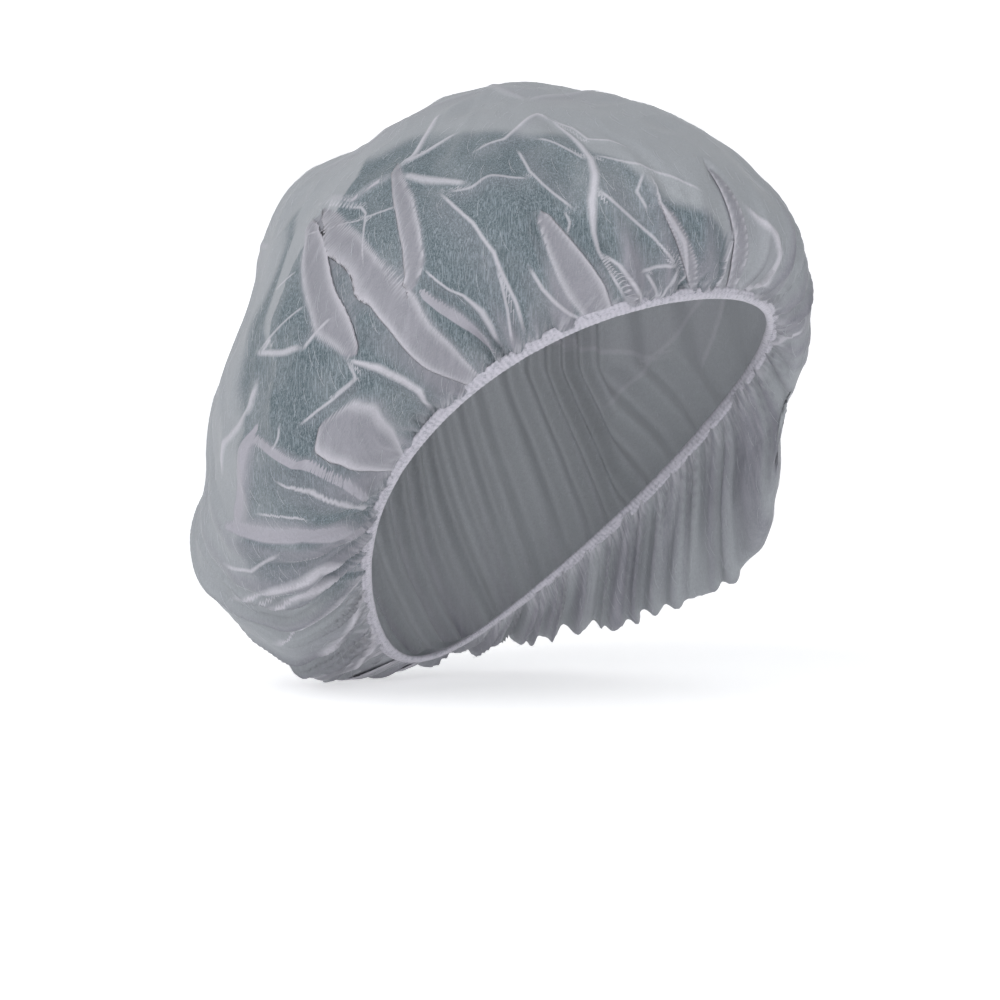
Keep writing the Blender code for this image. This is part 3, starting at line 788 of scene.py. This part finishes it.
def layStitches(add, size):
    path = add("GeometryNodeMeshToCurve", {"Mesh": size["Geometry"]})
    even = add("GeometryNodeResampleCurve", {"Curve": path.outputs[0], "Length": size["Pitch"]}, mode="LENGTH")
    outward = add("GeometryNodeInputNamedAttribute", {"Name": "outward"}, data_type="FLOAT_VECTOR")
    along = add("GeometryNodeInputTangent")
    facing = add("FunctionNodeAxesToRotation", {"Primary Axis": outward.outputs[0],
                                                "Secondary Axis": along.outputs[0]},
                 primary_axis="Z", secondary_axis="X")
    parity = reckon(add, "MODULO", add("GeometryNodeInputIndex").outputs[0], 2.0)
    toAndFro = reckon(add, "MULTIPLY_ADD", parity, 2.0, -1.0)
    uneven = add("FunctionNodeRandomValue", {2: 0.75, 3: 1.2, "Seed": size["Seed"]}, data_type="FLOAT").outputs[1]
    tilt = reckon(add, "MULTIPLY", reckon(add, "MULTIPLY", toAndFro, size["Tilt"]), uneven)
    turned = add("ShaderNodeCombineXYZ", {"Z": tilt})
    swing = add("FunctionNodeRotateRotation", {0: facing.outputs[0], 1: turned.outputs[0]}, rotation_space="LOCAL")
    bead = add("GeometryNodeMeshUVSphere", {"Segments": 6, "Rings": 6, "Radius": 0.5})
    shape = add("ShaderNodeCombineXYZ", {"X": reckon(add, "MULTIPLY", size["Length"], uneven),
                                         "Y": size["Thickness"], "Z": size["Thickness"]})
    return add("GeometryNodeInstanceOnPoints", {"Points": even.outputs[0], "Instance": bead.outputs["Mesh"],
                                                "Rotation": swing.outputs[0], "Scale": shape.outputs[0]})


def makeStitches(material, count=1400):  # zig-zag seam that holds the elastic, on the outer face of the hem
    middle, up, out = hemPath(count)[1:]
    seam = middle + 0.30 * hemSizes["width"] / 2 * up + 0.50 * hemSizes["thickness"] * out
    mesh = bpy.data.meshes.new("seam_guide")
    mesh.from_pydata(seam.tolist(), [(i, (i + 1) % count) for i in range(count)], [])
    mesh.attributes.new("outward", "FLOAT_VECTOR", "POINT").data.foreach_set("vector", out.astype(np.float32).ravel())
    guide = addObject("seam_guide", mesh)
    piece = growOn(guide, "hem_stitches", {
        "Pitch": hemSizes["stitchPitch"] / 2, "Length": hemSizes["stitchLength"],
        "Thickness": hemSizes["stitchThickness"], "Tilt": math.radians(hemSizes["stitchTilt"]), "Seed": 7,
        "Material": material}, layStitches)
    bpy.data.objects.remove(guide)
    return piece


# Single fibres that stand a little off the cloth
fibreSizes = {
    "perSquareMetre": 17000.0,
    "length": 6.0 * mm,
    "bend": 0.9 * mm,
    "radius": 0.045 * mm,
    "raise": 0.12 * mm,
    "lean": 0.5,                # radians to either side of the way up the bag
}


def layFibres(add, size):
    spread = add("GeometryNodeDistributePointsOnFaces", {"Mesh": size["Geometry"], "Density": size["Density"],
                                                         "Seed": size["Seed"]})
    normal = spread.outputs["Normal"]
    upright = add("ShaderNodeVectorMath", {0: normal, 1: (0.0, 0.0, 1.0)}, operation="CROSS_PRODUCT")
    facing = add("FunctionNodeAxesToRotation", {"Primary Axis": normal, "Secondary Axis": upright.outputs[0]},
                 primary_axis="Z", secondary_axis="Y")
    sway = add("FunctionNodeRandomValue", {2: -1.0, 3: 1.0, "Seed": size["Seed"]}, data_type="FLOAT")
    turned = add("ShaderNodeCombineXYZ", {"Z": reckon(add, "MULTIPLY", sway.outputs[1], size["Lean"])})
    swing = add("FunctionNodeRotateRotation", {0: facing.outputs[0], 1: turned.outputs[0]}, rotation_space="LOCAL")
    start = add("ShaderNodeCombineXYZ", {"X": reckon(add, "MULTIPLY", size["Length"], -0.5)})
    top = add("ShaderNodeCombineXYZ", {"Y": size["Bend"], "Z": size["Raise"]})
    end = add("ShaderNodeCombineXYZ", {"X": reckon(add, "MULTIPLY", size["Length"], 0.5)})
    strand = add("GeometryNodeCurveQuadraticBezier", {"Resolution": 5, "Start": start.outputs[0],
                                                      "Middle": top.outputs[0], "End": end.outputs[0]})
    ring = add("GeometryNodeCurvePrimitiveCircle", {"Resolution": 3, "Radius": size["Radius"]})
    tube = add("GeometryNodeCurveToMesh", {"Curve": strand.outputs[0], "Profile Curve": ring.outputs[0],
                                           "Fill Caps": True})
    raised = add("ShaderNodeVectorMath", {0: normal, "Scale": size["Raise"]}, operation="SCALE")
    lifted = add("GeometryNodeSetPosition", {"Geometry": spread.outputs["Points"], "Offset": raised.outputs[0]})
    uneven = add("FunctionNodeRandomValue", {2: 0.4, 3: 1.3, "Seed": size["Seed"]}, data_type="FLOAT").outputs[1]
    scale = add("ShaderNodeCombineXYZ", {"X": uneven, "Y": uneven, "Z": 1.0})
    return add("GeometryNodeInstanceOnPoints", {"Points": lifted.outputs[0], "Instance": tube.outputs[0],
                                                "Rotation": swing.outputs[0], "Scale": scale.outputs[0]})


def makeFibres(bag, material):
    return growOn(bag, "loose_fibres", {
        "Density": fibreSizes["perSquareMetre"], "Length": fibreSizes["length"], "Bend": fibreSizes["bend"],
        "Radius": fibreSizes["radius"], "Raise": fibreSizes["raise"], "Lean": fibreSizes["lean"], "Seed": 5,
        "Material": material}, layFibres)


def startMaterial(name, colour):
    material = bpy.data.materials.new(name)
    material.use_nodes = True
    material.diffuse_color = (*colour, 1)
    material.node_tree.nodes.clear()
    return material, nodeMaker(material.node_tree)


def noise(add, place, scale, detail, roughness=0.5, distortion=0.0):
    return add("ShaderNodeTexNoise", {"Vector": place, "Scale": scale, "Detail": detail, "Roughness": roughness,
                                      "Distortion": distortion}).outputs["Fac"]


def ramp(add, value, low, high):  # 0 at low, 1 at high
    return add("ShaderNodeMapRange", {"Value": value, "From Min": low, "From Max": high}).outputs[0]


def mix(add, share, first, second, kind="MIX"):  # colours as tuples or sockets
    first, second = [(*colour, 1) if isinstance(colour, tuple) else colour for colour in (first, second)]
    return add("ShaderNodeMix", {0: share, 6: first, 7: second}, data_type="RGBA", blend_type=kind).outputs[2]


def attribute(add, name):
    return add("ShaderNodeAttribute", attribute_name=name).outputs["Fac"]


def bumpOf(add, height, strength, distance):
    return add("ShaderNodeBump", {"Height": height, "Strength": strength, "Distance": distance}).outputs[0]


# Finish of the sheer cloth, with painted shade and painted highlights
sheer = {
    "paintedShade": (0.080, 0.118, 0.134),      # painted shade seen through one stretched layer, between its fibres
    "stroke": (0.270, 0.315, 0.350),    # runs of fibre in it
    "slack": (0.425, 0.440, 0.465),     # one slack layer
    "dense": (0.368, 0.360, 0.408),     # three layers of a pleat, and the painted light beside a crease
    "shaded": (0.240, 0.246, 0.278),    # painted shade on the same, between its fibres, in laid pleats and gathers
    "fold": (0.480, 0.465, 0.520),      # a broad fold pressed flat
    "crestHighlight": (0.640, 0.625, 0.680),     # painted highlight on a fold's edge, a raised crease and the gathers at the hem, partly the denser look of cloth seen along it
    "gap": 0.10,                        # share of light that a single layer lets straight through
    "glow": 0.20,                       # share that passes through the fibres, scattered
    "strokeWidth": 0.45 * mm,
    "strokeLength": 5.0 * mm,
    "bump": 0.2 * mm,
}


def clothMaterial():
    material, add = startMaterial("sheer_nonwoven", sheer["dense"])
    material.use_transparent_shadow = False  # quicker, and the gaps pass too little light to change a shadow
    onCloth = add("ShaderNodeUVMap", uv_map="cloth").outputs[0]
    inSpace = add("ShaderNodeTexCoord").outputs["Object"]

    def grain(width, length, tilt, detail, distortion):  # noise that follows the cloth
        lay = add("ShaderNodeMapping", {"Vector": onCloth, "Rotation": (0, 0, math.radians(tilt)),
                                        "Scale": (1 / width, 1 / length, 1)})
        return noise(add, lay.outputs[0], 1.0, detail, 0.55, distortion)

    def strands(width, length, tilt):  # noise drawn out along one direction in space
        lay = add("ShaderNodeMapping", {"Vector": inSpace, "Rotation": (math.radians(tilt), 0, math.radians(-45)),
                                        "Scale": (width, width, length)}, vector_type="TEXTURE")
        return noise(add, lay.outputs[0], 1.0, 2.0, 0.6, 0.5)

    def most(first, *others):
        for other in others:
            first = reckon(add, "MAXIMUM", first, other)
        return first

    def times(first, second):
        return reckon(add, "MULTIPLY", first, second)

    wide, long = sheer["strokeWidth"], sheer["strokeLength"]
    stroke = ramp(add, strands(wide, long, 8), 0.44, 0.66)
    crossing = ramp(add, strands(wide * 0.8, long * 0.9, 34), 0.50, 0.70)
    opposed = ramp(add, strands(wide * 0.8, long * 0.8, -30), 0.52, 0.70)
    tangle = grain(0.7 * mm, 0.9 * mm, 0, 3.0, 1.6)
    fibre = most(stroke, times(crossing, 0.9), times(opposed, 0.8), times(ramp(add, tangle, 0.55, 0.78), 0.7))
    cloud = ramp(add, noise(add, inSpace, 30.0, 4.0, 0.55), 0.46, 0.66)

    stacked = ramp(add, attribute(add, "stacked"), 0.72, 1.12)
    broadFold = ramp(add, attribute(add, "broadFold"), 0.90, 1.10)
    across = reckon(add, "ABSOLUTE", attribute(add, "acrossCrease"))
    line = times(ramp(add, across, 1.35, 0.35), ramp(add, attribute(add, "fromCrease"), 3.0, 2.0))
    creased = times(line, attribute(add, "creaseTone"))
    slackness = most(reckon(add, "SUBTRACT", 1.0, attribute(add, "openWeb")), times(cloud, 0.42))

    # painted shade between the fibres of a stretched layer
    open = mix(add, fibre, sheer["paintedShade"], sheer["stroke"])
    single = mix(add, times(slackness, 0.85), open, sheer["slack"])
    # painted light on one side of a crease
    single = mix(add, times(attribute(add, "besideCrease"), 0.6), single, sheer["dense"])
    # laid pleats, broad folds and gathers take the folded colours, whose shaded part is painted shade
    thick = most(stacked, broadFold, ramp(add, attribute(add, "gathered"), 0.60, 1.45))
    streaks = ramp(add, grain(2.2 * mm, 30 * mm, 6, 3.0, 0.4), 0.35, 0.75)
    foldedShaded = mix(add, most(times(streaks, 0.8), times(fibre, 0.5)), sheer["shaded"], sheer["dense"])
    foldedShaded = mix(add, times(broadFold, 0.7), foldedShaded, sheer["fold"])
    # painted highlight on the edges of laid pleats and along raised creases
    crestHighlight = most(times(attribute(add, "edge"), 0.8), ramp(add, creased, 0.0, 1.0))
    colour = mix(add, crestHighlight, mix(add, thick, single, foldedShaded), sheer["crestHighlight"])
    # painted shade in a groove
    groove = ramp(add, reckon(add, "SUBTRACT", 0.0, creased), 0.0, 1.0)
    colour = mix(add, times(groove, 0.6), colour, sheer["paintedShade"])
    # painted highlights on the crests of the fine gathers at the hem
    ticks = ramp(add, grain(1.3 * mm, 12 * mm, 0, 1.0, 0.2), 0.42, 0.62)
    colour = mix(add, times(times(ticks, attribute(add, "nearHem")), 0.55), colour, sheer["crestHighlight"])
    colour = mix(add, 0.16, colour, ramp(add, tangle, 0.3, 0.7), "MULTIPLY")

    bump = bumpOf(add, reckon(add, "ADD", times(fibre, 0.5), tangle), 0.45, sheer["bump"])
    surface = add("ShaderNodeBsdfPrincipled", {
        "Base Color": colour, "Normal": bump, "Roughness": 0.62, "Sheen Weight": 0.2, "Sheen Roughness": 0.4,
        "Specular IOR Level": 0.35})
    glow = add("ShaderNodeBsdfTranslucent", {"Color": colour, "Normal": bump})
    body = add("ShaderNodeMixShader", {0: sheer["glow"], 1: surface.outputs[0], 2: glow.outputs[0]})
    cover = most(thick, times(fibre, 0.7), times(slackness, 0.75), crestHighlight)
    opening = times(reckon(add, "SUBTRACT", 1.0, cover), sheer["gap"])
    clear = add("ShaderNodeBsdfTransparent")
    whole = add("ShaderNodeMixShader", {0: opening, 1: body.outputs[0], 2: clear.outputs[0]})
    add("ShaderNodeOutputMaterial", {"Surface": whole.outputs[0]})
    return material


def plainMaterial(name, colour, even, shade):  # even holds what is the same all over, shade gives the rest
    material, add = startMaterial(name, colour)
    inSpace = add("ShaderNodeTexCoord").outputs["Object"]
    surface = add("ShaderNodeBsdfPrincipled", {**even, **shade(add, inSpace)})
    add("ShaderNodeOutputMaterial", {"Surface": surface.outputs[0]})
    return material


# Finish of the hem: ruches of the same cloth, lighter on their ridges, with painted shade in their valleys
hemColourAndShade = {"ridge": (0.455, 0.440, 0.495), "shadedValley": (0.30, 0.30, 0.34)}


def shadeHem(add, inSpace):
    specks = ramp(add, noise(add, inSpace, 800.0, 2.0), 0.50, 0.72)
    # ridge colour, with painted shade in the valleys and random specks
    share = reckon(add, "ADD", reckon(add, "MULTIPLY", attribute(add, "shadedValley"), 0.7), specks)
    return {"Base Color": mix(add, share, hemColourAndShade["ridge"], hemColourAndShade["shadedValley"]),
            "Normal": bumpOf(add, noise(add, inSpace, 900.0, 3.0, 0.6, 1.0), 0.4, 0.2 * mm)}


def strandMaterial(name, light, dark, scale):  # thread and single fibres: streaks along the strand
    return plainMaterial(name, light, {"Roughness": 0.55, "Sheen Weight": 0.3}, lambda add, inSpace: {
        "Base Color": mix(add, noise(add, inSpace, scale, 2.0), dark, light)})


# Studio: pale floor that curves up behind, soft key from the upper left, camera of the photograph
studio = {
    "cameraTurn": -45,              # degrees from the forehead
    "cameraRise": 2,
    "cameraDistance": 0.80,
    "aimRight": -0.023,
    "aimHeight": -0.004,
    "lens": 77.84,                  # mm, on a sensor of sensorWidth
    "sensorWidth": 36,
    "frame": 1000,                  # pixels
    "floorGap": 0.2 * mm,
    "paper": (0.86, 0.86, 0.87),
    "paperGlow": 0.47,
    "sky": (0.95, 0.97, 1),
    "skyLight": 0.45,
    # power, size, turn from the camera, rise and distance
    "key": (8.3, 0.9, -42, 40, 1.3),
    "fill": (7.5, 1.3, 14, 18, 1.6),
}


def makeFloor(level):
    reach, curve, wall, halfWidth = 1.3, 0.7, 2.2, 3.0
    line = [(-2.2, 0.0), (0.0, 0.0), (reach, 0.0)]
    line += [(reach + curve * math.sin(math.radians(a)), curve * (1 - math.cos(math.radians(a))))
             for a in range(10, 91, 10)]
    line.append((reach + curve, wall))
    a = math.radians(studio["cameraTurn"])
    right, away = np.array([math.cos(a), math.sin(a)]), np.array([-math.sin(a), math.cos(a)])
    points = [(*(right * side + away * along), level + height) for side in (-halfWidth, halfWidth)
              for along, height in line]
    n = len(line)
    mesh = bpy.data.meshes.new("studio_floor")
    mesh.from_pydata(points, [], [(i, n + i, n + i + 1, i + 1) for i in range(n - 1)])
    even = {"Roughness": 0.9, "Base Color": (*studio["paper"], 1), "Emission Color": (1, 1, 1, 1),
            "Emission Strength": studio["paperGlow"]}
    mesh.materials.append(plainMaterial("studio_paper", studio["paper"], even, lambda add, inSpace: {
        "Normal": bumpOf(add, noise(add, inSpace, 220.0, 2.0), 0.04, 1 * mm)}))
    return addObject("studio_floor", mesh, smooth=True)


def addLight(name):
    power, size, turn, rise, distance = studio[name]
    light = bpy.data.lights.new(name, "AREA")
    light.shape = "SQUARE"
    light.size, light.energy = size, power
    holder = addObject(name, light)
    a, e = math.radians(studio["cameraTurn"] + turn), math.radians(rise)
    holder.location = (math.sin(a) * math.cos(e) * distance, -math.cos(a) * math.cos(e) * distance,
                       math.sin(e) * distance)
    holder.rotation_euler = (math.radians(90) - e, 0, a)


def addCamera():
    camera = bpy.data.cameras.new("camera")
    camera.lens, camera.sensor_width = studio["lens"], studio["sensorWidth"]
    camera.clip_end = 20
    holder = addObject("camera", camera)
    holder.location = viewFrame()[0]
    holder.rotation_euler = (math.radians(90 - studio["cameraRise"]), 0, math.radians(studio["cameraTurn"]))
    bpy.context.scene.camera = holder


def addSky():
    world = bpy.data.worlds.new("studio")
    world.use_nodes = True
    sky = world.node_tree.nodes["Background"].inputs
    sky["Color"].default_value = (*studio["sky"], 1)
    sky["Strength"].default_value = studio["skyLight"]
    bpy.context.scene.world = world
    bpy.context.scene.view_settings.view_transform = "Standard"


bag = makeCloth()
bag.data.materials.append(clothMaterial())
area = sum(face.area for face in bag.data.polygons)
print("bag cloth:", len(bag.data.vertices), "points,", round(area, 4), "square metres")
hem = makeHem()
hem.data.materials.append(plainMaterial("ruched_hem_cloth", (0.62, 0.61, 0.68),
                                        {"Roughness": 0.7, "Sheen Weight": 0.3}, shadeHem))
print("hem:", len(hem.data.vertices), "points")
stitches = makeStitches(strandMaterial("seam_thread", (0.58, 0.57, 0.63), (0.43, 0.42, 0.47), 700.0))
print("stitches:", len(stitches.data.polygons), "faces")
fibres = makeFibres(bag, strandMaterial("single_fibre", (0.62, 0.63, 0.68), (0.44, 0.46, 0.50), 300.0))
print("fibres:", len(fibres.data.polygons), "faces")

floor = makeFloor(min(vertex.co.z for vertex in bag.data.vertices) - studio["floorGap"])
addCamera()
addLight("key")
addLight("fill")
addSky()
print("studio: floor, camera and lights")

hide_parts("crown")
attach(bag, "root")
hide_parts("elastic_hem")
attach(hem, "root")
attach(stitches, "root")
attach(fibres, "root")
